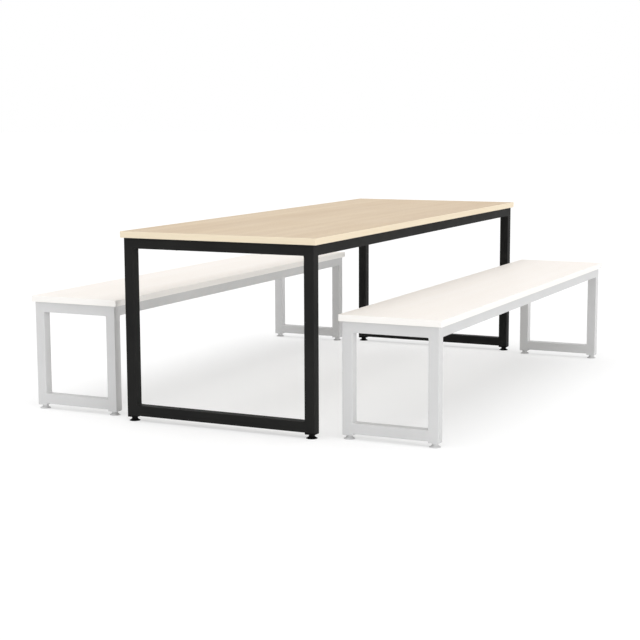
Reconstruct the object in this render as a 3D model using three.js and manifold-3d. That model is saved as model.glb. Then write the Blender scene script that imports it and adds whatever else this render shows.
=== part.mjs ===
// Canteen table on a welded square-tube frame, with a pair of matching free-standing benches.
// Millimetres, +Z up. X runs along the table, Y runs across it, and the feet stand on Z = 0.
// Front is -Y, back is +Y, left is -X and right is +X.

import * as THREE from 'three';
import { mergeVertices } from 'three/addons/utils/BufferGeometryUtils.js';
import Module from 'manifold-3d';

const wasm = await Module();
wasm.setup();

// Table, over its top
const TABLE_LENGTH = 2230;
const TABLE_WIDTH = 824;
const TABLE_HEIGHT = 730;

// Benches, over their seats
const BENCH_WIDTH = 398;
const BENCH_HEIGHT = 456;
const BENCH_GAP = 60;
const TUCK_CLEARANCE = 5;

// Boards and their edge bands
const BOARD_THICKNESS = 24;
const BOARD_CORNER_RADIUS = 4;
const BAND_THICKNESS = 2;
const END_OVERHANG = 8;
const SIDE_OVERHANG = 13;

// Square steel tube
const TUBE_WIDTH = 40;
const TUBE_WALL = 2;
const TUBE_CORNER_RADIUS = 2;

// Threaded plastic insert that closes each leg
const INSERT_LIP = 6;
const INSERT_DEPTH = 40;

// Levelling foot: a flared base on a threaded stud
const FOOT_HEIGHT = 15.5;
const FOOT_BASE_RADIUS = 21;
const FOOT_BASE_EDGE = 1.5;
const FOOT_NECK_RADIUS = 11.5;
const FOOT_NECK_LENGTH = 7.5;
const STUD_RADIUS = 5;
const STUD_LENGTH = 45;
const STUD_CHAMFER = 1;

// Fits
const JOIN_GAP = 0.3;
const THREAD_CLEARANCE = 0.3;
const SMALLEST_RADIUS = 0.5;

// Facets
const CORNER_STEPS = 2;
const ROUND_STEPS = 16;

// Finishes
const BLACK_STEEL = { color: 0x2b2b2a, roughness: 0.45, metalness: 0.1 };
const PALE_STEEL = { color: 0xcfcfce, roughness: 0.45, metalness: 0.1 };
const MAPLE_LAMINATE = { color: 0xe1c8aa, roughness: 0.5, metalness: 0 };
const MAPLE_BAND = { color: 0xf0e4cb, roughness: 0.5, metalness: 0 };
const PALE_LAMINATE = { color: 0xf8f3ec, roughness: 0.5, metalness: 0 };
const PALE_BAND = { color: 0xfcf9f3, roughness: 0.5, metalness: 0 };
const BLACK_PLASTIC = { color: 0x1c1c1c, roughness: 0.6, metalness: 0 };
const PALE_PLASTIC = { color: 0xc4c4c4, roughness: 0.6, metalness: 0 };

// Heights that every frame shares
const LIP_BOTTOM = FOOT_HEIGHT + JOIN_GAP;
const LEG_BOTTOM = LIP_BOTTOM + INSERT_LIP + JOIN_GAP;

// A bench slides in between the table's end frames, so its length follows the table's.
const BENCH_LENGTH = TABLE_LENGTH - 2 * (END_OVERHANG + TUBE_WIDTH + TUCK_CLEARANCE);
const BENCH_OFFSET = TABLE_WIDTH / 2 + BENCH_GAP + BENCH_WIDTH / 2;

const CORNERS = [
  { name: 'front_left', x: -1, y: -1 },
  { name: 'front_right', x: 1, y: -1 },
  { name: 'back_right', x: 1, y: 1 },
  { name: 'back_left', x: -1, y: 1 },
];
const ENDS = [
  { name: 'left', x: -1 },
  { name: 'right', x: 1 },
];
const SIDES = [
  { name: 'front', y: -1 },
  { name: 'back', y: 1 },
];

// Radius of an outline that lies inside a rounded one
function insetRadius(radius, inset) {
  return Math.max(radius - inset, SMALLEST_RADIUS);
}

// Corner points of a rounded rectangle centred on the origin
function roundedRectangle(length, width, radius) {
  const points = [];
  const quarters = [[1, 1], [-1, 1], [-1, -1], [1, -1]];
  quarters.forEach(([signX, signY], quarter) => {
    const centreX = signX * (length / 2 - radius);
    const centreY = signY * (width / 2 - radius);
    for (let step = 0; step <= CORNER_STEPS; step += 1) {
      const angle = (quarter + step / CORNER_STEPS) * Math.PI / 2;
      const x = centreX + radius * Math.cos(angle);
      const y = centreY + radius * Math.sin(angle);
      points.push(new THREE.Vector2(x, y));
    }
  });
  return points;
}

// Upright prism from Z = 0, with an optional hole right through it
function prism(outline, height, hole) {
  const shape = new THREE.Shape(outline);
  if (hole) {
    shape.holes.push(new THREE.Path(hole));
  }
  return new THREE.ExtrudeGeometry(shape, { depth: height, bevelEnabled: false });
}

function toSolid(geometry) {
  geometry.deleteAttribute('normal');
  geometry.deleteAttribute('uv');
  const merged = mergeVertices(geometry);
  const mesh = new wasm.Mesh({
    numProp: 3,
    vertProperties: new Float32Array(merged.attributes.position.array),
    triVerts: new Uint32Array(merged.index.array),
  });
  mesh.merge();
  return new wasm.Manifold(mesh);
}

function toGeometry(solid) {
  const mesh = solid.getMesh();
  const geometry = new THREE.BufferGeometry();
  geometry.setAttribute('position', new THREE.BufferAttribute(mesh.vertProperties, 3));
  geometry.setIndex(new THREE.BufferAttribute(mesh.triVerts, 1));
  return geometry;
}

// Length of square tube, open at both ends, centred on the origin along Z
function tube(length) {
  const bore = TUBE_WIDTH - 2 * TUBE_WALL;
  const outside = roundedRectangle(TUBE_WIDTH, TUBE_WIDTH, TUBE_CORNER_RADIUS);
  const inside = roundedRectangle(bore, bore, insetRadius(TUBE_CORNER_RADIUS, TUBE_WALL));
  return prism(outside, length, inside).translate(0, 0, -length / 2);
}

// Board without its edge band
function boardCore(length, width) {
  const inset = BAND_THICKNESS + JOIN_GAP;
  const radius = insetRadius(BOARD_CORNER_RADIUS, inset);
  return prism(roundedRectangle(length - 2 * inset, width - 2 * inset, radius), BOARD_THICKNESS);
}

// Band that runs right round a board's edge
function edgeBand(length, width) {
  const outside = roundedRectangle(length, width, BOARD_CORNER_RADIUS);
  const innerLength = length - 2 * BAND_THICKNESS;
  const innerWidth = width - 2 * BAND_THICKNESS;
  const innerRadius = insetRadius(BOARD_CORNER_RADIUS, BAND_THICKNESS);
  return prism(outside, BOARD_THICKNESS, roundedRectangle(innerLength, innerWidth, innerRadius));
}

// Insert with its lip's underside at Z = 0: the plug fills the leg and the bore takes the stud.
function tubeInsert() {
  const plugWidth = TUBE_WIDTH - 2 * TUBE_WALL - 2 * JOIN_GAP;
  const plugRadius = insetRadius(TUBE_CORNER_RADIUS, TUBE_WALL);
  const plugLength = INSERT_DEPTH + INSERT_LIP / 2;
  const lip = toSolid(prism(roundedRectangle(TUBE_WIDTH, TUBE_WIDTH, TUBE_CORNER_RADIUS), INSERT_LIP));
  const plugOutline = roundedRectangle(plugWidth, plugWidth, plugRadius);
  const plug = toSolid(prism(plugOutline, plugLength).translate(0, 0, INSERT_LIP / 2));
  const boreLength = 2 * (INSERT_LIP + INSERT_DEPTH);
  const boreRadius = STUD_RADIUS + THREAD_CLEARANCE;
  const bore = new THREE.CylinderGeometry(boreRadius, boreRadius, boreLength, ROUND_STEPS);
  bore.rotateX(Math.PI / 2);
  return toGeometry(lip.add(plug).subtract(toSolid(bore)));
}

// Foot standing on Z = 0, turned from one outline: base edge, flare, neck and stud
function levellingFoot() {
  const neckBottom = FOOT_HEIGHT - FOOT_NECK_LENGTH;
  const studTop = FOOT_HEIGHT + STUD_LENGTH;
  const outline = [
    new THREE.Vector2(0, 0),
    new THREE.Vector2(FOOT_BASE_RADIUS, 0),
    new THREE.Vector2(FOOT_BASE_RADIUS, FOOT_BASE_EDGE),
    new THREE.Vector2(FOOT_NECK_RADIUS, neckBottom),
    new THREE.Vector2(FOOT_NECK_RADIUS, FOOT_HEIGHT),
    new THREE.Vector2(STUD_RADIUS, FOOT_HEIGHT),
    new THREE.Vector2(STUD_RADIUS, studTop - STUD_CHAMFER),
    new THREE.Vector2(STUD_RADIUS - STUD_CHAMFER, studTop),
    new THREE.Vector2(0, studTop),
  ];
  return new THREE.LatheGeometry(outline, ROUND_STEPS).rotateX(Math.PI / 2);
}

function addPiece(group, name, geometry, finish) {
  const mesh = new THREE.Mesh(geometry, new THREE.MeshStandardMaterial(finish));
  mesh.name = name;
  group.add(mesh);
  return mesh;
}

// Four legs, an end rail at the top and the bottom of each pair, and two side rails under the board
function addFrame(group, prefix, frameLength, frameWidth, frameTop, finish) {
  const legX = (frameLength - TUBE_WIDTH) / 2;
  const legY = (frameWidth - TUBE_WIDTH) / 2;
  const legLength = frameTop - LEG_BOTTOM;
  const endRailLength = frameWidth - 2 * (TUBE_WIDTH + JOIN_GAP);
  const sideRailLength = frameLength - 2 * (TUBE_WIDTH + JOIN_GAP);
  const topRailZ = frameTop - TUBE_WIDTH / 2;
  const bottomRailZ = LEG_BOTTOM + TUBE_WIDTH / 2;

  CORNERS.forEach((corner) => {
    const leg = addPiece(group, `${prefix}_leg_${corner.name}`, tube(legLength), finish.steel);
    leg.position.set(corner.x * legX, corner.y * legY, LEG_BOTTOM + legLength / 2);
  });
  ENDS.forEach((end) => {
    const topRail = addPiece(group, `${prefix}_top_rail_${end.name}`, tube(endRailLength), finish.steel);
    topRail.rotation.x = Math.PI / 2;
    topRail.position.set(end.x * legX, 0, topRailZ);
    const bottomRail = addPiece(group, `${prefix}_bottom_rail_${end.name}`, tube(endRailLength), finish.steel);
    bottomRail.rotation.x = Math.PI / 2;
    bottomRail.position.set(end.x * legX, 0, bottomRailZ);
  });
  SIDES.forEach((side) => {
    const sideRail = addPiece(group, `${prefix}_side_rail_${side.name}`, tube(sideRailLength), finish.steel);
    sideRail.rotation.y = Math.PI / 2;
    sideRail.position.set(0, side.y * legY, topRailZ);
  });
  CORNERS.forEach((corner) => {
    const insert = addPiece(group, `${prefix}_insert_${corner.name}`, tubeInsert(), finish.plastic);
    insert.position.set(corner.x * legX, corner.y * legY, LIP_BOTTOM);
    const foot = addPiece(group, `${prefix}_foot_${corner.name}`, levellingFoot(), finish.plastic);
    foot.position.set(corner.x * legX, corner.y * legY, 0);
  });
}

// Table or bench: a banded board on a welded frame
function furniture(prefix, length, width, height, finish) {
  const group = new THREE.Group();
  const boardBottom = height - BOARD_THICKNESS;
  const board = addPiece(group, `${prefix}_board`, boardCore(length, width), finish.laminate);
  board.position.z = boardBottom;
  const band = addPiece(group, `${prefix}_edge_band`, edgeBand(length, width), finish.band);
  band.position.z = boardBottom;
  const frameLength = length - 2 * END_OVERHANG;
  const frameWidth = width - 2 * SIDE_OVERHANG;
  addFrame(group, prefix, frameLength, frameWidth, boardBottom - JOIN_GAP, finish);
  return group;
}

const tableFinish = {
  steel: BLACK_STEEL,
  laminate: MAPLE_LAMINATE,
  band: MAPLE_BAND,
  plastic: BLACK_PLASTIC,
};
const benchFinish = {
  steel: PALE_STEEL,
  laminate: PALE_LAMINATE,
  band: PALE_BAND,
  plastic: PALE_PLASTIC,
};

const set = new THREE.Group();
set.add(furniture('table', TABLE_LENGTH, TABLE_WIDTH, TABLE_HEIGHT, tableFinish));
SIDES.forEach((side) => {
  const bench = furniture(`${side.name}_bench`, BENCH_LENGTH, BENCH_WIDTH, BENCH_HEIGHT, benchFinish);
  bench.position.y = side.y * BENCH_OFFSET;
  set.add(bench);
});

export default set;
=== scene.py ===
"""Looks of the canteen table and its pair of benches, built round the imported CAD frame.

Metres, +Z up, in the CAD frame: X runs along the table, Y across it, and the floor is Z = 0.
Every place is taken from a CAD node's box, so a piece sits where its node sits.
"""

import math

import bmesh
import bpy
from mathutils import Matrix, Vector


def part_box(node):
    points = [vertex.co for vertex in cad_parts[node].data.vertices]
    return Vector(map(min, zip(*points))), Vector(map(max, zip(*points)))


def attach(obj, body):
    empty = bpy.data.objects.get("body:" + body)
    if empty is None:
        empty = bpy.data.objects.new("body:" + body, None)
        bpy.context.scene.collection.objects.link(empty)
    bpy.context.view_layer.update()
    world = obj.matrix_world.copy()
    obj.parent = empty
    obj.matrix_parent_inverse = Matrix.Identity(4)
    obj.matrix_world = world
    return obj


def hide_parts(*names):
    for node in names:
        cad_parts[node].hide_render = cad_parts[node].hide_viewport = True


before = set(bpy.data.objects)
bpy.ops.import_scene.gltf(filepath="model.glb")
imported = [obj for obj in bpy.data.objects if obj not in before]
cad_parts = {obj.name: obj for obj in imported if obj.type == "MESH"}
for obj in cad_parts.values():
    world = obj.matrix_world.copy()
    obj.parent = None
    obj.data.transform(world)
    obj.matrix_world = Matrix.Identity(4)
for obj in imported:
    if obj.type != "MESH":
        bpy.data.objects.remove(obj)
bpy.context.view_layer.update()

MM = 0.001

# Camera, solved from the photograph's straight edges
CAMERA_PLACE = (-5.7733, -2.6629, 1.1804)
CAMERA_YAW = math.radians(25.64)
CAMERA_PITCH = math.radians(-8.151)
CAMERA_ROLL = math.radians(-0.229)
CAMERA_LENS = 82.46
CAMERA_SENSOR = 36.0

# Studio floor: what it throws back on the object, and how it looks itself
FLOOR_SIZE = 120.0
FLOOR_BOUNCE = 0.95
FLOOR_SEEN_DIFFUSE = 0.48
FLOOR_SEEN_GLOW = 0.55

# Light from all round, which grows steadily towards the bright side
BRIGHT_SIDE = (-0.85, 0.30, 0.40)
WORLD_DARK = 0.12
WORLD_BRIGHT = 0.87
# Strength that shows as white where the light from all round is seen
WORLD_SEEN = 1.0

# Broad lamp overhead: where it stands from the object, how wide it looks, and its strength
KEY_TOWARDS = (0.0, -0.05, 1.0)
KEY_WIDTH = math.radians(70)
KEY_STRENGTH = 1.36

# Low lamp in front, which reaches the shaded sides under the table
FILL_TOWARDS = (-0.25, -1.0, 0.12)
FILL_WIDTH = math.radians(20)
FILL_STRENGTH = 1.0

# Gap that the CAD leaves between fixed pieces, closed here where the real ones touch
JOIN_GAP = 0.3 * MM

# Boards and bands
GLUE_LINE = 0.05 * MM
BOARD_CORNER = 2 * MM
BOARD_EDGE = 0.25 * MM
BAND_CORNER = 4 * MM
BAND_EDGE = 1.2 * MM
SEAM_SHARE = 0.18
SEAM_HALF_WIDTH = 0.5 * MM
SEAM_FLOOR_HALF_WIDTH = 0.125 * MM
SEAM_DEPTH = 0.15 * MM
# A face whose normal has less Z than this looks down
FACING_DOWN = -0.5

# Square tube
TUBE_WALL = 2 * MM
TUBE_CORNER = 2 * MM
TUBE_END_EDGE = 0.3 * MM
SMALLEST_RADIUS = 0.4 * MM

# Weld beads
BEAD_PITCH = 2.4 * MM
BEAD_STEP = 0.8 * MM
BEAD_PROFILE_STEPS = 6
# How far a ripple bows at mid-bead, in radians of its wave
BEAD_BOW = 2.2
# Share of its outward lift that a fully leaning ripple loses
BEAD_LEAN_LOSS = 0.3
# A bead's profile is in millimetres, as (along the rail from the joint, out from the rail's face).
# It starts on the leg, bulges towards a control point, ends on the rail, and roots in the steel.
BEAD_STYLES = {
    "dressed": {"start": (-4.2, -0.03), "bulge": (-1.0, 0.14), "end": (2.2, -0.03),
                "root": (-0.4, -2.6), "ripple": 0.02, "lean": 0.0},
    "welded": {"start": (-4.0, -0.05), "bulge": (-0.9, 0.9), "end": (2.2, -0.05),
               "root": (-0.4, -2.6), "ripple": 0.14, "lean": 0.0},
    "fillet": {"start": (-0.1, 3.4), "bulge": (1.1, 1.1), "end": (3.4, -0.1),
               "root": (-0.7, -0.7), "ripple": 0.2, "lean": 0.7},
    "flat": {"start": (-3.0, -0.4), "bulge": (-0.8, -0.4), "end": (2.0, -0.4),
             "root": (-0.4, -1.8), "ripple": 0.0, "lean": 0.0},
}

# Inserts and levelling feet
INSERT_EDGE = 0.8 * MM
INSERT_BORE = 5.2 * MM
FIN_PITCH = 6 * MM
FIN_DEPTH = 0.7 * MM
FIN_LAND = 1.2 * MM
FOOT_BASE_RADIUS = 21 * MM
FOOT_BASE_EDGE = 1.5 * MM
FOOT_RIM_RADIUS = 0.5 * MM
FOOT_EDGE = 0.8 * MM
FOOT_NECK_RADIUS = 11.5 * MM
FOOT_NECK_LENGTH = 7.5 * MM
FOOT_HEIGHT = 15.5 * MM
# At 1 the flare is a straight cone, and above 1 it is hollow
FLARE_POWER = 1.15
FOOT_RECESS_RADIUS = 15 * MM
FOOT_RECESS_DEPTH = 1.4 * MM
STUD_SOCKET = 7 * MM
STUD_RADIUS = 5 * MM
THREAD_PITCH = 1.5 * MM
THREAD_DEPTH = 0.9 * MM
THREAD_TURN_STEPS = 18
# Shares of the pitch at which a thread's crest starts and ends, and its upper flank ends
THREAD_CREST_START = 0.42
THREAD_CREST_END = 0.56
THREAD_FLANK_END = 0.96

# Screws that hold the board down, up through the rails
SCREW_HEAD_RADIUS = 4.6 * MM
SCREW_HEAD_HEIGHT = 3 * MM
# Shares of the head's radius that is flat, and of its height that is domed
SCREW_FLAT_SHARE = 0.62
SCREW_DOME_SHARE = 0.75
SCREW_SHANK_RADIUS = 2 * MM
# Share of the shank's radius that is left at the tip
SCREW_TIP_SHARE = 0.08
SCREW_POINT = 5 * MM
SCREW_BITE = 16 * MM
RECESS_ARM = 2.4 * MM
RECESS_HALF_WIDTH = 0.6 * MM
RECESS_DEPTH = 1.9 * MM
# Size of the recess at its floor, as a share of its size at the mouth
RECESS_FLOOR_SHARE = 0.55
# Keeps a division by the sine of a turn from failing along the middle of an arm
SMALLEST_SINE = 1e-6
SIDE_RAIL_SCREWS = 4
END_RAIL_SCREWS = 2

# Facets
CORNER_STEPS = 6
EDGE_STEPS = 4
ROUND_STEPS = 48
SCREW_STEPS = 24
FLARE_STEPS = 12
# Edges that turn by more than this stay sharp
SMOOTH_ANGLE = math.radians(35)

# Ranges in materials: all of a texture's range, and the part that a noise mostly keeps to
FULL_RANGE = (0.0, 1.0)
NOISE_RANGE = (0.3, 0.7)
# Largest share of a normal along one axis, on a flat and where an edge is fully round
EDGE_RANGE = (0.97, 0.78)
# A colour mix node's sockets, which share their names with its other kinds of value
MIX_COLOUR_A = 6
MIX_COLOUR_B = 7
MIX_COLOUR_RESULT = 2

# Words that the CAD nodes' names are made of
UNITS = ("table", "front_bench", "back_bench")
CORNERS = ("front_left", "front_right", "back_right", "back_left")
ENDS = ("left", "right")
SIDES = ("front", "back")


# Mesh helpers

def rounded_rectangle(half_x, half_y, radius, steps):
    """Points of a rounded rectangle round the origin, anticlockwise from its +X side."""
    points = []
    for quarter, (sign_x, sign_y) in enumerate(((1, 1), (-1, 1), (-1, -1), (1, -1))):
        for step in range(steps + 1):
            angle = (quarter + step / steps) * math.pi / 2
            x = sign_x * (half_x - radius) + radius * math.cos(angle)
            y = sign_y * (half_y - radius) + radius * math.sin(angle)
            points.append((x, y))
    return points


def ring(radius, count):
    """Points of a circle that match a rounded rectangle's points one to one."""
    first = math.pi / 4 - math.pi * (count / 4 - 1) / count
    angles = [first + 2 * math.pi * index / count for index in range(count)]
    return [(radius * math.cos(angle), radius * math.sin(angle)) for angle in angles]


def level_loop(outline, centre, height):
    """An outline laid level round a centre at a height."""
    return [(centre.x + x, centre.y + y, height) for x, y in outline]


def rounded_side(bottom, top, radius, steps):
    """(inset, height) pairs up the side of a slab whose two edges are rounded."""
    quarter = [math.pi / 2 * step / steps for step in range(steps + 1)]
    lower = [(radius * (1 - math.sin(a)), bottom + radius * (1 - math.cos(a))) for a in quarter]
    upper = [(radius * (1 - math.cos(a)), top - radius * (1 - math.sin(a))) for a in quarter]
    return lower + upper


def add_loft(mesh, loops, joined=False):
    """Skins equal loops in order, then caps both ends or joins the last loop to the first."""
    rings = [[mesh.verts.new(point) for point in loop] for loop in loops]
    pairs = list(zip(rings, rings[1:]))
    if joined:
        pairs.append((rings[-1], rings[0]))
    else:
        mesh.faces.new(rings[0])
        mesh.faces.new(rings[-1])
    for lower, upper in pairs:
        for index in range(len(lower)):
            following = (index + 1) % len(lower)
            mesh.faces.new((lower[index], lower[following], upper[following], upper[index]))


def add_lathe(mesh, profile, place, steps):
    """Turns (radius, height) pairs round a vertical axis. The first and last lie on the axis."""
    bottom = mesh.verts.new(place + Vector((0, 0, profile[0][1])))
    top = mesh.verts.new(place + Vector((0, 0, profile[-1][1])))
    rings = []
    for radius, height in profile[1:-1]:
        points = ring(radius, steps)
        rings.append([mesh.verts.new(place + Vector((x, y, height))) for x, y in points])
    for index in range(steps):
        following = (index + 1) % steps
        mesh.faces.new((bottom, rings[0][index], rings[0][following]))
        mesh.faces.new((top, rings[-1][following], rings[-1][index]))
        for lower, upper in zip(rings, rings[1:]):
            mesh.faces.new((lower[index], lower[following], upper[following], upper[index]))


def along_axis(axis, x, y, along):
    """A tube's cross-section point and distance along it, turned to lie along the given axis."""
    return Vector(((along, x, y), (y, along, x), (x, y, along))[axis])


def make_piece(name, mesh, body, material, nodes=()):
    """Turns a mesh into a piece that rides on a body, with flat faces kept flat."""
    bmesh.ops.recalc_face_normals(mesh, faces=mesh.faces)
    data = bpy.data.meshes.new(name)
    mesh.to_mesh(data)
    mesh.free()
    data.materials.append(material)
    data.shade_smooth()
    data.set_sharp_from_angle(angle=SMOOTH_ANGLE)
    piece = bpy.data.objects.new(name, data)
    bpy.context.scene.collection.objects.link(piece)
    weighted = piece.modifiers.new("weighted_normals", "WEIGHTED_NORMAL")
    weighted.keep_sharp = True
    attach(piece, body)
    if nodes:
        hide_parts(*nodes)
    return piece


# Material helpers

def add_node(tree, kind, inputs=None, **settings):
    """A node with these values on its inputs and these settings."""
    node = tree.nodes.new(kind)
    for name, value in settings.items():
        setattr(node, name, value)
    for name, value in (inputs or {}).items():
        node.inputs[name].default_value = value
    return node


def laid_over(tree, kind, cycles, inputs=None, **settings):
    """Texture laid over a piece, with so many cycles in a metre along X, Y and Z."""
    coordinates = add_node(tree, "ShaderNodeTexCoord")
    mapping = add_node(tree, "ShaderNodeMapping", {"Scale": cycles})
    texture = add_node(tree, kind, {"Scale": 1.0, **(inputs or {})}, **settings)
    tree.links.new(coordinates.outputs["Object"], mapping.inputs["Vector"])
    tree.links.new(mapping.outputs["Vector"], texture.inputs["Vector"])
    return texture


def all_ways(cycles):
    """The same number of cycles in a metre along X, Y and Z."""
    return (cycles, cycles, cycles)


def noise(tree, cycles, detail=2.0, roughness=0.5):
    """Soft noise laid over a piece, from 0 to 1."""
    inputs = {"Detail": detail, "Roughness": roughness}
    return laid_over(tree, "ShaderNodeTexNoise", cycles, inputs).outputs["Fac"]


def remap(tree, source, from_range, to_range):
    """A number moved from one range to another, and held inside the second."""
    inputs = {
        "From Min": from_range[0],
        "From Max": from_range[1],
        "To Min": to_range[0],
        "To Max": to_range[1],
    }
    node = add_node(tree, "ShaderNodeMapRange", inputs, clamp=True)
    tree.links.new(source, node.inputs["Value"])
    return node.outputs["Result"]


def blend_colours(tree, share, first, second):
    """Mixes two colours, each a socket or a fixed value, by a share that varies over the piece."""
    node = add_node(tree, "ShaderNodeMix", data_type="RGBA", blend_type="MIX")
    tree.links.new(share, node.inputs["Factor"])
    for number, colour in ((MIX_COLOUR_A, first), (MIX_COLOUR_B, second)):
        socket = node.inputs[number]
        if isinstance(colour, bpy.types.NodeSocket):
            tree.links.new(colour, socket)
        else:
            socket.default_value = (*colour, 1)
    return node.outputs[MIX_COLOUR_RESULT]


def times(tree, first, second):
    """Product of two numbers that vary over the piece."""
    node = add_node(tree, "ShaderNodeMath", operation="MULTIPLY")
    tree.links.new(first, node.inputs[0])
    tree.links.new(second, node.inputs[1])
    return node.outputs["Value"]


def bump(tree, height, depth, strength, below=None):
    """Relief of a real depth, laid over an earlier relief if one is given."""
    node = add_node(tree, "ShaderNodeBump", {"Distance": depth, "Strength": strength})
    tree.links.new(height, node.inputs["Height"])
    if below is not None:
        tree.links.new(below, node.inputs["Normal"])
    return node.outputs["Normal"]


def rounded_edges(tree):
    """1 along a square piece's rounded edges and 0 on its flats, from the piece's own normal."""
    coordinates = add_node(tree, "ShaderNodeTexCoord")
    split = add_node(tree, "ShaderNodeSeparateXYZ")
    tree.links.new(coordinates.outputs["Normal"], split.inputs["Vector"])
    largest = None
    for name in ("X", "Y", "Z"):
        size = add_node(tree, "ShaderNodeMath", operation="ABSOLUTE")
        tree.links.new(split.outputs[name], size.inputs[0])
        if largest is None:
            largest = size.outputs["Value"]
            continue
        greater = add_node(tree, "ShaderNodeMath", operation="MAXIMUM")
        tree.links.new(largest, greater.inputs[0])
        tree.links.new(size.outputs["Value"], greater.inputs[1])
        largest = greater.outputs["Value"]
    return remap(tree, largest, EDGE_RANGE, FULL_RANGE)


def new_material(name, specular, metallic=0.0):
    """A material with its node tree and shader."""
    material = bpy.data.materials.new(name)
    material.use_nodes = True
    tree = material.node_tree
    shader = tree.nodes["Principled BSDF"]
    shader.inputs["Specular IOR Level"].default_value = specular
    shader.inputs["Metallic"].default_value = metallic
    return material, tree, shader


def connect(tree, shader, colour, roughness, normal):
    """Links what varies over a piece to its shader."""
    tree.links.new(colour, shader.inputs["Base Color"])
    tree.links.new(roughness, shader.inputs["Roughness"])
    tree.links.new(normal, shader.inputs["Normal"])


# Materials

def wood_laminate(name, light, deep, pore, pore_share, specular):
    """Printed wood laminate: broad tone, long figure, fine fibres and short pores along X."""
    material, tree, shader = new_material(name, specular)
    clouds = noise(tree, cycles=(0.6, 9.0, 1.0), detail=3.0)
    tone = remap(tree, clouds, NOISE_RANGE, FULL_RANGE)
    wave_inputs = {"Scale": 3.6, "Distortion": 5.0, "Detail": 2.0, "Detail Scale": 0.9}
    wave = laid_over(tree, "ShaderNodeTexWave", cycles=(0.22, 1.0, 1.0), inputs=wave_inputs,
                     wave_type="BANDS", bands_direction="Y")
    figure = remap(tree, wave.outputs["Fac"], FULL_RANGE, to_range=(0.0, 0.45))
    threads = noise(tree, cycles=(5.0, 380.0, 380.0), detail=4.0, roughness=0.6)
    fibres = remap(tree, threads, from_range=(0.35, 0.75), to_range=(0.0, 0.5))
    specks = noise(tree, cycles=(26.0, 900.0, 900.0), detail=1.0)
    pores = remap(tree, specks, from_range=(0.60, 0.74), to_range=(0.0, pore_share))
    colour = blend_colours(tree, tone, light, deep)
    colour = blend_colours(tree, figure, colour, deep)
    colour = blend_colours(tree, fibres, colour, deep)
    colour = blend_colours(tree, pores, colour, pore)
    smears = noise(tree, cycles=(3.0, 5.0, 5.0), detail=3.0)
    roughness = remap(tree, smears, NOISE_RANGE, to_range=(0.46, 0.56))
    grit = noise(tree, cycles=all_ways(2200.0), detail=1.0)
    skin = bump(tree, grit, depth=0.02 * MM, strength=0.35)
    normal = bump(tree, pores, depth=-0.03 * MM, strength=0.5, below=skin)
    connect(tree, shader, colour, roughness, normal)
    return material


def backing_laminate(name, colour_a, colour_b):
    """Plain balancing sheet on a board's underside, with a faint pressed texture."""
    material, tree, shader = new_material(name, specular=0.2)
    clouds = noise(tree, cycles=all_ways(5.0), detail=4.0)
    colour = blend_colours(tree, clouds, colour_a, colour_b)
    roughness = remap(tree, clouds, NOISE_RANGE, to_range=(0.55, 0.68))
    pressing = noise(tree, cycles=all_ways(1400.0))
    normal = bump(tree, pressing, depth=0.03 * MM, strength=0.4)
    connect(tree, shader, colour, roughness, normal)
    return material


def edge_strip(name, light, deep, specular):
    """Plastic edge band with a faint grain printed along it and scraped, smoother edges."""
    material, tree, shader = new_material(name, specular)
    grain = noise(tree, cycles=(4.0, 4.0, 330.0), detail=3.0)
    streaks = remap(tree, grain, NOISE_RANGE, FULL_RANGE)
    drift = noise(tree, cycles=(1.5, 1.5, 8.0))
    colour = blend_colours(tree, times(tree, streaks, drift), light, deep)
    edges = rounded_edges(tree)
    scraped = remap(tree, edges, FULL_RANGE, to_range=(0.0, 0.35))
    colour = blend_colours(tree, scraped, colour, light)
    roughness = remap(tree, edges, FULL_RANGE, to_range=(0.48, 0.36))
    embossing = noise(tree, cycles=(300.0, 300.0, 1500.0))
    normal = bump(tree, embossing, depth=0.02 * MM, strength=0.4)
    connect(tree, shader, colour, roughness, normal)
    return material


def powder_coat(name, colour_a, colour_b, edge_wear_and_sheen_colour, specular):
    """Baked powder paint: orange peel, faint cloudiness, and lighter rounded edges in patches,
    partly a thinner, worn film and partly painted sheen.
    """
    material, tree, shader = new_material(name, specular)
    clouds = noise(tree, cycles=all_ways(7.0), detail=4.0)
    tone = remap(tree, clouds, NOISE_RANGE, FULL_RANGE)
    colour = blend_colours(tree, tone, colour_a, colour_b)
    patches = noise(tree, cycles=all_ways(45.0), detail=5.0)
    wear_and_sheen_patches = remap(tree, patches, from_range=(0.45, 0.70), to_range=(0.15, 1.0))
    # Lighter patches on the rounded edges: partly worn film, partly painted sheen.
    rubbed_and_sheen_edges = times(tree, rounded_edges(tree), wear_and_sheen_patches)
    edge_wear_and_sheen_share = remap(tree, rubbed_and_sheen_edges, FULL_RANGE, to_range=(0.0, 0.6))
    colour = blend_colours(tree, edge_wear_and_sheen_share, colour, edge_wear_and_sheen_colour)
    smears = noise(tree, cycles=all_ways(14.0), detail=3.0)
    roughness = remap(tree, smears, NOISE_RANGE, to_range=(0.42, 0.54))
    waviness = noise(tree, cycles=all_ways(650.0), detail=1.0)
    peel = bump(tree, waviness, depth=0.05 * MM, strength=0.35)
    grit = noise(tree, cycles=all_ways(2600.0), detail=1.0)
    normal = bump(tree, grit, depth=0.012 * MM, strength=0.35, below=peel)
    connect(tree, shader, colour, roughness, normal)
    return material


def moulded_plastic(name, colour_a, colour_b, specular):
    """Injection-moulded plastic with a spark-eroded skin and scuffed patches."""
    material, tree, shader = new_material(name, specular)
    patches = noise(tree, cycles=(60.0, 60.0, 90.0), detail=5.0, roughness=0.65)
    scuffs = remap(tree, patches, from_range=(0.45, 0.75), to_range=FULL_RANGE)
    colour = blend_colours(tree, scuffs, colour_a, colour_b)
    roughness = remap(tree, scuffs, FULL_RANGE, to_range=(0.52, 0.68))
    erosion = noise(tree, cycles=all_ways(1900.0))
    normal = bump(tree, erosion, depth=0.04 * MM, strength=0.4)
    connect(tree, shader, colour, roughness, normal)
    return material


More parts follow.
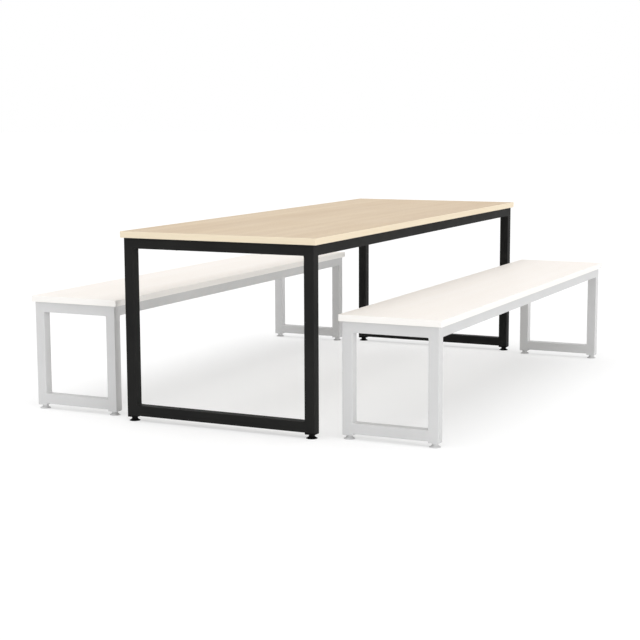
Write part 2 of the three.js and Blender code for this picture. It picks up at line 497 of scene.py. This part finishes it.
def plated_steel(name, colour_a, colour_b):
    """Bright zinc plating with drawn marks and a faint yellow passivation."""
    material, tree, shader = new_material(name, specular=0.5, metallic=1.0)
    patches = noise(tree, cycles=all_ways(120.0), detail=3.0)
    colour = blend_colours(tree, patches, colour_a, colour_b)
    marks = noise(tree, cycles=(900.0, 900.0, 3500.0))
    roughness = remap(tree, marks, NOISE_RANGE, to_range=(0.24, 0.42))
    normal = bump(tree, marks, depth=0.01 * MM, strength=0.3)
    connect(tree, shader, colour, roughness, normal)
    return material


# Pieces

def make_board(unit, finish):
    """Board with fine edges against the band, and a plain backing sheet underneath."""
    low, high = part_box(f"{unit}_board")
    centre = (low + high) / 2
    half = (high - low) / 2
    reach = JOIN_GAP - GLUE_LINE
    loops = []
    for inset, height in rounded_side(low.z - JOIN_GAP, high.z, BOARD_EDGE, EDGE_STEPS):
        half_x = half.x + reach - inset
        half_y = half.y + reach - inset
        outline = rounded_rectangle(half_x, half_y, BOARD_CORNER - inset, CORNER_STEPS)
        loops.append(level_loop(outline, centre, height))
    mesh = bmesh.new()
    add_loft(mesh, loops)
    board = make_piece(
        f"{unit}_board_panel", mesh, unit, finish["laminate"], [f"{unit}_board"]
    )
    board.data.materials.append(finish["backing"])
    for polygon in board.data.polygons:
        if polygon.normal.z < FACING_DOWN:
            polygon.material_index = 1


def make_edge_band(unit, finish):
    """Band swept right round the board, with a fine butt seam on the back long side."""
    low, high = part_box(f"{unit}_edge_band")
    board_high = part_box(f"{unit}_board")[1]
    thickness = high.x - board_high.x - JOIN_GAP
    centre = (low + high) / 2
    half = (high - low) / 2
    seam_x = half.x * SEAM_SHARE
    profile = rounded_side(low.z, high.z, BAND_EDGE, EDGE_STEPS)
    profile = [(thickness, low.z), *profile, (thickness, high.z)]
    loops = []
    for inset, height in profile:
        half_y = half.y - inset
        outline = rounded_rectangle(half.x - inset, half_y, BAND_CORNER - inset, CORNER_STEPS)
        depth = SEAM_DEPTH if inset < thickness else 0.0
        seam = [
            (seam_x + SEAM_HALF_WIDTH, half_y),
            (seam_x + SEAM_FLOOR_HALF_WIDTH, half_y - depth),
            (seam_x - SEAM_FLOOR_HALF_WIDTH, half_y - depth),
            (seam_x - SEAM_HALF_WIDTH, half_y),
        ]
        outline[CORNER_STEPS + 1:CORNER_STEPS + 1] = seam
        loops.append(level_loop(outline, centre, height))
    mesh = bmesh.new()
    add_loft(mesh, loops, joined=True)
    make_piece(f"{unit}_band_strip", mesh, unit, finish["band"], [f"{unit}_edge_band"])


def tube_axis(node):
    """Number of the axis that a tube lies along, its longest."""
    low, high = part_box(node)
    return max(range(3), key=lambda axis: high[axis] - low[axis])


def make_tube(unit, part, finish):
    """Hollow square tube with drawn corners and deburred ends. Rails reach to the legs."""
    node = f"{unit}_{part}"
    low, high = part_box(node)
    axis = tube_axis(node)
    centre = (low + high) / 2
    half = (high - low) / 2
    half_length = half[axis] + (JOIN_GAP if "rail" in part else 0.0)
    half_width = half[(axis + 1) % 3]
    inner_edge = TUBE_WALL - TUBE_END_EDGE
    inner_end = half_length - TUBE_END_EDGE
    wall = [
        (TUBE_END_EDGE, -half_length),
        (0.0, -inner_end),
        (0.0, inner_end),
        (TUBE_END_EDGE, half_length),
        (inner_edge, half_length),
        (TUBE_WALL, inner_end),
        (TUBE_WALL, -inner_end),
        (inner_edge, -half_length),
    ]
    loops = []
    for inset, along in wall:
        radius = max(TUBE_CORNER - inset, SMALLEST_RADIUS)
        outline = rounded_rectangle(half_width - inset, half_width - inset, radius, CORNER_STEPS)
        loops.append([centre + along_axis(axis, x, y, along) for x, y in outline])
    mesh = bmesh.new()
    add_loft(mesh, loops, joined=True)
    make_piece(f"{node}_tube", mesh, unit, finish["steel"], [node])


def eased(share):
    """A share from 0 to 1 that starts and ends gently."""
    return share * share * (3 - 2 * share)


def mixed_style(first, second, share):
    """Bead style between two neighbouring sides of a rail."""
    style = {}
    for key, value in first.items():
        if isinstance(value, tuple):
            style[key] = tuple(a + (b - a) * share for a, b in zip(value, second[key]))
        else:
            style[key] = value + (second[key] - value) * share
    return style


def bead_stations(half_width, styles):
    """Points round a rail's outline with their outward normal, bead style and distance run."""
    flat = 2 * (half_width - TUBE_CORNER)
    flat_steps = math.ceil(flat / BEAD_STEP)
    arc = math.pi / 2 * TUBE_CORNER
    arc_steps = math.ceil(arc / BEAD_STEP)
    run = 0.0
    stations = []
    for side in range(4):
        angle = side * math.pi / 2
        normal = Vector((math.cos(angle), math.sin(angle)))
        tangent = Vector((-normal.y, normal.x))
        style = BEAD_STYLES[styles[side]]
        next_style = BEAD_STYLES[styles[(side + 1) % 4]]
        for step in range(flat_steps):
            offset = flat * (step / flat_steps - 0.5)
            stations.append((normal * half_width + tangent * offset, normal, style, run))
            run += flat / flat_steps
        corner = normal * (half_width - TUBE_CORNER) + tangent * flat / 2
        for step in range(arc_steps):
            share = step / arc_steps
            turned = angle + share * math.pi / 2
            outward = Vector((math.cos(turned), math.sin(turned)))
            mixed = mixed_style(style, next_style, eased(share))
            stations.append((corner + outward * TUBE_CORNER, outward, mixed, run))
            run += arc / arc_steps
    return stations


def bead_profile(style, run):
    """Points across a bead at one place on its run, with crescent ripples on its face."""
    controls = (style["start"], style["bulge"], style["end"])
    points = []
    for step in range(BEAD_PROFILE_STEPS + 1):
        share = step / BEAD_PROFILE_STEPS
        weights = ((1 - share) ** 2, 2 * share * (1 - share), share ** 2)
        along = sum(weight * control[0] for weight, control in zip(weights, controls))
        out = sum(weight * control[1] for weight, control in zip(weights, controls))
        crescent = math.sin(math.pi * share)
        phase = 2 * math.pi * (run / BEAD_PITCH) + BEAD_BOW * crescent
        lift = style["ripple"] * crescent * math.cos(phase)
        along += lift * style["lean"]
        out += lift * (1 - BEAD_LEAN_LOSS * style["lean"])
        points.append((along, out))
    points.append(style["root"])
    return points


def add_bead(mesh, node, end_sign, styles):
    """Weld bead round one end of a rail. The styles go by side, in the cross-section's order."""
    low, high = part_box(node)
    axis = tube_axis(node)
    centre = (low + high) / 2
    half = (high - low) / 2
    joint = half[axis] + JOIN_GAP
    loops = []
    for point, normal, style, run in bead_stations(half[(axis + 1) % 3], styles):
        loop = []
        for along, out in bead_profile(style, run):
            x, y = point + normal * out * MM
            loop.append(centre + along_axis(axis, x, y, end_sign * (joint - along * MM)))
        loops.append(loop)
    add_loft(mesh, loops, joined=True)


def make_welds(unit, finish):
    """All the beads of one frame: dressed outside, as welded inside, filleted in the corners."""
    mesh = bmesh.new()
    for end in ENDS:
        outer = 1 if end == "right" else -1
        for level, top_style, bottom_style, inner_style in (
            ("top", "flat", "fillet", "fillet"),
            ("bottom", "fillet", "flat", "welded"),
        ):
            by_x = {outer: "dressed", -outer: inner_style}
            # An end rail lies along Y, so its cross-section runs +Z, +X, -Z, -X.
            styles = (top_style, by_x[1], bottom_style, by_x[-1])
            for end_sign in (-1, 1):
                add_bead(mesh, f"{unit}_{level}_rail_{end}", end_sign, styles)
    for side in SIDES:
        outer = 1 if side == "back" else -1
        by_y = {outer: "dressed", -outer: "flat"}
        # A side rail lies along X, so its cross-section runs +Y, +Z, -Y, -Z.
        styles = (by_y[1], "flat", by_y[-1], "fillet")
        for end_sign in (-1, 1):
            add_bead(mesh, f"{unit}_side_rail_{side}", end_sign, styles)
    make_piece(f"{unit}_welds", mesh, unit, finish["steel"])


def make_insert(unit, corner, finish):
    """Threaded insert: a soft-edged lip under the leg and a finned plug up inside it."""
    node = f"{unit}_insert_{corner}"
    low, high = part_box(node)
    centre = (low + high) / 2
    lip_half = (high.x - low.x) / 2
    leg_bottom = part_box(f"{unit}_leg_{corner}")[0].z
    plug_half = lip_half - TUBE_WALL
    lip = rounded_side(low.z, leg_bottom, INSERT_EDGE, EDGE_STEPS)[:EDGE_STEPS + 1]
    sections = [(lip_half - inset, height) for inset, height in lip]
    sections.append((lip_half, leg_bottom))
    sections.append((plug_half - FIN_DEPTH, leg_bottom))
    fin_count = int((high.z - leg_bottom) / FIN_PITCH)
    for fin in range(fin_count):
        fin_bottom = leg_bottom + (fin + 0.5) * FIN_PITCH
        sections.append((plug_half - FIN_DEPTH, fin_bottom))
        sections.append((plug_half, fin_bottom + FIN_LAND / 2))
        sections.append((plug_half, fin_bottom + FIN_LAND))
        sections.append((plug_half - FIN_DEPTH, fin_bottom + 2 * FIN_LAND))
    sections.append((plug_half - FIN_DEPTH, high.z))
    loops = []
    for half, height in sections:
        radius = max(TUBE_CORNER - (lip_half - half), SMALLEST_RADIUS)
        outline = rounded_rectangle(half, half, radius, CORNER_STEPS)
        loops.append(level_loop(outline, centre, height))
    outline = ring(INSERT_BORE, len(loops[0]))
    for height in (high.z, low.z):
        loops.append(level_loop(outline, centre, height))
    mesh = bmesh.new()
    add_loft(mesh, loops, joined=True)
    make_piece(f"{node}_plug", mesh, unit, finish["plastic"], [node])


def foot_profile():
    """(radius, height) pairs of a foot: recessed sole, rounded rim, flare, neck and stud socket."""
    sole_edge = FOOT_RECESS_RADIUS + FOOT_RECESS_DEPTH
    profile = [
        (0.0, FOOT_RECESS_DEPTH),
        (FOOT_RECESS_RADIUS, FOOT_RECESS_DEPTH),
        (sole_edge, 0.0),
    ]
    rim = rounded_side(0.0, FOOT_BASE_EDGE, FOOT_RIM_RADIUS, EDGE_STEPS)
    profile += [(FOOT_BASE_RADIUS - inset, height) for inset, height in rim]
    neck_bottom = FOOT_HEIGHT - FOOT_NECK_LENGTH
    flare_start = FOOT_BASE_RADIUS - FOOT_RIM_RADIUS
    for step in range(1, FLARE_STEPS + 1):
        share = step / FLARE_STEPS
        near = (1 - share) ** FLARE_POWER
        far = share ** FLARE_POWER
        radius = FOOT_NECK_RADIUS + (flare_start - FOOT_NECK_RADIUS) * near
        height = FOOT_BASE_EDGE + (neck_bottom - FOOT_BASE_EDGE) * far
        profile.append((radius, height))
    top = rounded_side(neck_bottom, FOOT_HEIGHT, FOOT_EDGE, EDGE_STEPS)[EDGE_STEPS + 1:]
    profile += [(FOOT_NECK_RADIUS - inset, height) for inset, height in top]
    profile += [
        (STUD_RADIUS, FOOT_HEIGHT),
        (STUD_RADIUS, FOOT_HEIGHT - STUD_SOCKET),
        (0.0, FOOT_HEIGHT - STUD_SOCKET),
    ]
    return profile


def add_thread(mesh, place, top):
    """Helical thread from a place on its axis up to a height, closed at both ends."""
    root = STUD_RADIUS - THREAD_DEPTH
    # Share of the pitch and radius at four points up one turn
    form = (
        (0.0, root),
        (THREAD_CREST_START, STUD_RADIUS),
        (THREAD_CREST_END, STUD_RADIUS),
        (THREAD_FLANK_END, root),
    )
    turns = int((top - place.z) / THREAD_PITCH) - 1
    last = turns * THREAD_TURN_STEPS

    def thread_point(step, share, radius):
        """A point of the thread, which runs out to its root at the top."""
        angle = 2 * math.pi * step / THREAD_TURN_STEPS
        height = place.z + (step / THREAD_TURN_STEPS + share) * THREAD_PITCH
        radius = min(radius, root + max(top - height, 0.0))
        return (place.x + radius * math.cos(angle), place.y + radius * math.sin(angle), height)

    columns = []
    for step in range(last + 1):
        points = [thread_point(step, share, radius) for share, radius in form]
        columns.append([mesh.verts.new(point) for point in points])
    for step in range(last + 1, last + THREAD_TURN_STEPS + 1):
        columns.append([mesh.verts.new(thread_point(step, *form[0]))])
    for step in range(last):
        left = [*columns[step], columns[step + THREAD_TURN_STEPS][0]]
        right = [*columns[step + 1], columns[step + 1 + THREAD_TURN_STEPS][0]]
        for index in range(len(form)):
            mesh.faces.new((left[index], right[index], right[index + 1], left[index + 1]))
    bottom_centre = mesh.verts.new(place)
    top_centre = mesh.verts.new((place.x, place.y, columns[-1][0].co.z))
    for step in range(THREAD_TURN_STEPS):
        mesh.faces.new((bottom_centre, columns[step + 1][0], columns[step][0]))
        mesh.faces.new((top_centre, columns[last + step][0], columns[last + step + 1][0]))
    mesh.faces.new((bottom_centre, *columns[0], columns[THREAD_TURN_STEPS][0]))
    mesh.faces.new((top_centre, columns[last + THREAD_TURN_STEPS][0], *reversed(columns[last])))


def make_foot(unit, corner, finish):
    """Levelling foot and the threaded stud moulded into it."""
    node = f"{unit}_foot_{corner}"
    low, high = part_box(node)
    place = Vector(((low.x + high.x) / 2, (low.y + high.y) / 2, low.z))
    mesh = bmesh.new()
    add_lathe(mesh, foot_profile(), place, ROUND_STEPS)
    make_piece(f"{node}_base", mesh, node, finish["plastic"], [node])
    stud_place = place + Vector((0, 0, FOOT_HEIGHT - STUD_SOCKET))
    mesh = bmesh.new()
    add_thread(mesh, stud_place, high.z)
    make_piece(f"{node}_stud", mesh, node, finish["zinc"])


def recess_outline(scale):
    """Cross-shaped recess of a screw head, as one point at each of the head's angles."""
    points = []
    for x, y in ring(1.0, SCREW_STEPS):
        angle = math.atan2(y, x)
        turn = abs(angle - round(angle / (math.pi / 2)) * math.pi / 2)
        reach = min(RECESS_ARM, RECESS_HALF_WIDTH / max(math.sin(turn), SMALLEST_SINE))
        points.append((x * reach * scale, y * reach * scale))
    return points


def add_screw(mesh, x, y, rail_bottom, board_bottom):
    """Pan-head screw that points up, its head against the rail and its tip in the board."""
    head_bottom = rail_bottom - SCREW_HEAD_HEIGHT
    tip = board_bottom + SCREW_BITE
    dome = [(math.pi / 2) * step / EDGE_STEPS for step in range(EDGE_STEPS + 1)]
    outlines = [
        (recess_outline(RECESS_FLOOR_SHARE), head_bottom + RECESS_DEPTH),
        (recess_outline(1.0), head_bottom),
    ]
    flat_radius = SCREW_HEAD_RADIUS * SCREW_FLAT_SHARE
    dome_height = SCREW_HEAD_HEIGHT * SCREW_DOME_SHARE
    for angle in dome:
        radius = flat_radius + (SCREW_HEAD_RADIUS - flat_radius) * math.sin(angle)
        height = head_bottom + dome_height * (1 - math.cos(angle))
        outlines.append((ring(radius, SCREW_STEPS), height))
    outlines += [
        (ring(SCREW_HEAD_RADIUS, SCREW_STEPS), rail_bottom),
        (ring(SCREW_SHANK_RADIUS, SCREW_STEPS), rail_bottom),
        (ring(SCREW_SHANK_RADIUS, SCREW_STEPS), tip - SCREW_POINT),
        (ring(SCREW_SHANK_RADIUS * SCREW_TIP_SHARE, SCREW_STEPS), tip),
    ]
    place = Vector((x, y))
    add_loft(mesh, [level_loop(outline, place, height) for outline, height in outlines])


def make_screws(unit, finish):
    """Screws along every rail under the board."""
    board_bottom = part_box(f"{unit}_board")[0].z
    rails = [(f"{unit}_side_rail_{side}", SIDE_RAIL_SCREWS) for side in SIDES]
    rails += [(f"{unit}_top_rail_{end}", END_RAIL_SCREWS) for end in ENDS]
    mesh = bmesh.new()
    for node, count in rails:
        low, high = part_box(node)
        axis = tube_axis(node)
        for index in range(count):
            place = (low + high) / 2
            place[axis] = low[axis] + (high[axis] - low[axis]) * (index + 0.5) / count
            add_screw(mesh, place.x, place.y, low.z, board_bottom)
    make_piece(f"{unit}_screws", mesh, unit, finish["zinc"])


def make_unit(unit, finish):
    """All the pieces of the table or of one bench."""
    make_board(unit, finish)
    make_edge_band(unit, finish)
    for corner in CORNERS:
        make_tube(unit, f"leg_{corner}", finish)
        make_insert(unit, corner, finish)
        make_foot(unit, corner, finish)
    for end in ENDS:
        make_tube(unit, f"top_rail_{end}", finish)
        make_tube(unit, f"bottom_rail_{end}", finish)
    for side in SIDES:
        make_tube(unit, f"side_rail_{side}", finish)
    make_welds(unit, finish)
    make_screws(unit, finish)


# Finishes

zinc = plated_steel("zinc_plate", (0.62, 0.63, 0.64), (0.70, 0.66, 0.55))
table_finish = {
    "family": "table",
    "laminate": wood_laminate(
        "maple_laminate",
        light=(0.700, 0.575, 0.415),
        deep=(0.600, 0.464, 0.317),
        pore=(0.41, 0.28, 0.17),
        pore_share=0.45,
        specular=0.20,
    ),
    "backing": backing_laminate("maple_backing", (0.70, 0.66, 0.58), (0.76, 0.72, 0.64)),
    "band": edge_strip(
        "maple_edge",
        light=(0.865, 0.755, 0.575),
        deep=(0.82, 0.69, 0.50),
        specular=0.25,
    ),
    "steel": powder_coat(
        "black_powder_coat",
        colour_a=(0.016, 0.016, 0.016),
        colour_b=(0.021, 0.021, 0.020),
        # Lighter edge colour: partly worn film, partly painted sheen.
        edge_wear_and_sheen_colour=(0.042, 0.042, 0.041),
        specular=0.03,
    ),
    "plastic": moulded_plastic(
        "black_plastic",
        colour_a=(0.004, 0.004, 0.004),
        colour_b=(0.009, 0.009, 0.009),
        specular=0.06,
    ),
    "zinc": zinc,
}
bench_finish = {
    "family": "bench",
    "laminate": wood_laminate(
        "pale_laminate",
        light=(0.95, 0.91, 0.87),
        deep=(0.93, 0.88, 0.83),
        pore=(0.78, 0.71, 0.63),
        pore_share=0.30,
        specular=0.15,
    ),
    "backing": backing_laminate("pale_backing", (0.78, 0.77, 0.75), (0.83, 0.82, 0.80)),
    "band": edge_strip(
        "pale_edge",
        light=(0.97, 0.95, 0.92),
        deep=(0.95, 0.92, 0.88),
        specular=0.25,
    ),
    "steel": powder_coat(
        "pale_powder_coat",
        colour_a=(0.64, 0.64, 0.64),
        colour_b=(0.67, 0.67, 0.67),
        # Lighter edge colour: partly worn film, partly painted sheen.
        edge_wear_and_sheen_colour=(0.73, 0.73, 0.73),
        specular=0.6,
    ),
    "plastic": moulded_plastic(
        "pale_plastic",
        colour_a=(0.66, 0.66, 0.66),
        colour_b=(0.72, 0.72, 0.72),
        specular=0.3,
    ),
    "zinc": zinc,
}
for unit_name in UNITS:
    make_unit(unit_name, table_finish if unit_name == "table" else bench_finish)


# Stage: floor, light and camera

def seen_directly(tree):
    """1 for rays from the camera, a reflection or glass, and 0 for light's own bounces."""
    path = add_node(tree, "ShaderNodeLightPath")
    total = path.outputs["Is Camera Ray"]
    for name in ("Is Glossy Ray", "Is Transmission Ray"):
        node = add_node(tree, "ShaderNodeMath", operation="ADD", use_clamp=True)
        tree.links.new(total, node.inputs[0])
        tree.links.new(path.outputs[name], node.inputs[1])
        total = node.outputs["Value"]
    return total


def grey(level):
    """A grey colour with full cover."""
    return (level, level, level, 1)


def make_floor():
    """Wide floor that throws light back on the object, and is seen as white ground with shadows."""
    mesh = bmesh.new()
    bmesh.ops.create_grid(mesh, x_segments=1, y_segments=1, size=FLOOR_SIZE / 2)
    data = bpy.data.meshes.new("floor")
    mesh.to_mesh(data)
    mesh.free()
    floor = bpy.data.objects.new("floor", data)
    bpy.context.scene.collection.objects.link(floor)
    material = bpy.data.materials.new("studio_floor")
    material.use_nodes = True
    tree = material.node_tree
    tree.nodes.remove(tree.nodes["Principled BSDF"])
    bounce = add_node(tree, "ShaderNodeBsdfDiffuse", {"Color": grey(FLOOR_BOUNCE)})
    shaded = add_node(tree, "ShaderNodeBsdfDiffuse", {"Color": grey(FLOOR_SEEN_DIFFUSE)})
    glow = add_node(tree, "ShaderNodeEmission", {"Strength": FLOOR_SEEN_GLOW})
    seen = add_node(tree, "ShaderNodeAddShader")
    choice = add_node(tree, "ShaderNodeMixShader")
    tree.links.new(shaded.outputs["BSDF"], seen.inputs[0])
    tree.links.new(glow.outputs["Emission"], seen.inputs[1])
    tree.links.new(seen_directly(tree), choice.inputs["Fac"])
    tree.links.new(bounce.outputs["BSDF"], choice.inputs[1])
    tree.links.new(seen.outputs["Shader"], choice.inputs[2])
    tree.links.new(choice.outputs["Shader"], tree.nodes["Material Output"].inputs["Surface"])
    data.materials.append(material)


def make_world():
    """White where it is seen, and a soft light from the bright side on the object."""
    world = bpy.data.worlds.new("studio")
    world.use_nodes = True
    tree = world.node_tree
    background = tree.nodes["Background"]
    background.inputs["Color"].default_value = grey(1)
    direction = add_node(tree, "ShaderNodeTexCoord")
    along = add_node(tree, "ShaderNodeVectorMath", operation="DOT_PRODUCT")
    along.inputs[1].default_value = Vector(BRIGHT_SIDE).normalized()
    tree.links.new(direction.outputs["Generated"], along.inputs[0])
    lighting = remap(tree, along.outputs["Value"], from_range=(-1.0, 1.0),
                     to_range=(WORLD_DARK, WORLD_BRIGHT))
    strength = add_node(tree, "ShaderNodeMix", {"B": WORLD_SEEN}, data_type="FLOAT")
    tree.links.new(seen_directly(tree), strength.inputs["Factor"])
    tree.links.new(lighting, strength.inputs["A"])
    tree.links.new(strength.outputs["Result"], background.inputs["Strength"])
    bpy.context.scene.world = world


def make_sun(name, towards, width, strength):
    """Far lamp that stands in the given direction from the object."""
    lamp = bpy.data.lights.new(name, "SUN")
    lamp.angle = width
    lamp.energy = strength
    sun = bpy.data.objects.new(name, lamp)
    sun.rotation_euler = Vector(towards).to_track_quat("Z", "Y").to_euler()
    bpy.context.scene.collection.objects.link(sun)


def make_camera():
    """Camera at the place that the photograph was taken from."""
    lens = bpy.data.cameras.new("camera")
    lens.lens = CAMERA_LENS
    lens.sensor_width = CAMERA_SENSOR
    camera = bpy.data.objects.new("camera", lens)
    heading = Matrix.Rotation(CAMERA_YAW - math.pi / 2, 4, "Z")
    tilt = Matrix.Rotation(math.pi / 2 + CAMERA_PITCH, 4, "X")
    roll = Matrix.Rotation(CAMERA_ROLL, 4, "Z")
    camera.matrix_world = Matrix.Translation(CAMERA_PLACE) @ heading @ tilt @ roll
    bpy.context.scene.collection.objects.link(camera)
    bpy.context.scene.camera = camera


make_floor()
make_world()
make_sun("key", KEY_TOWARDS, KEY_WIDTH, KEY_STRENGTH)
make_sun("fill", FILL_TOWARDS, FILL_WIDTH, FILL_STRENGTH)
make_camera()
bpy.context.scene.view_settings.view_transform = "Standard"
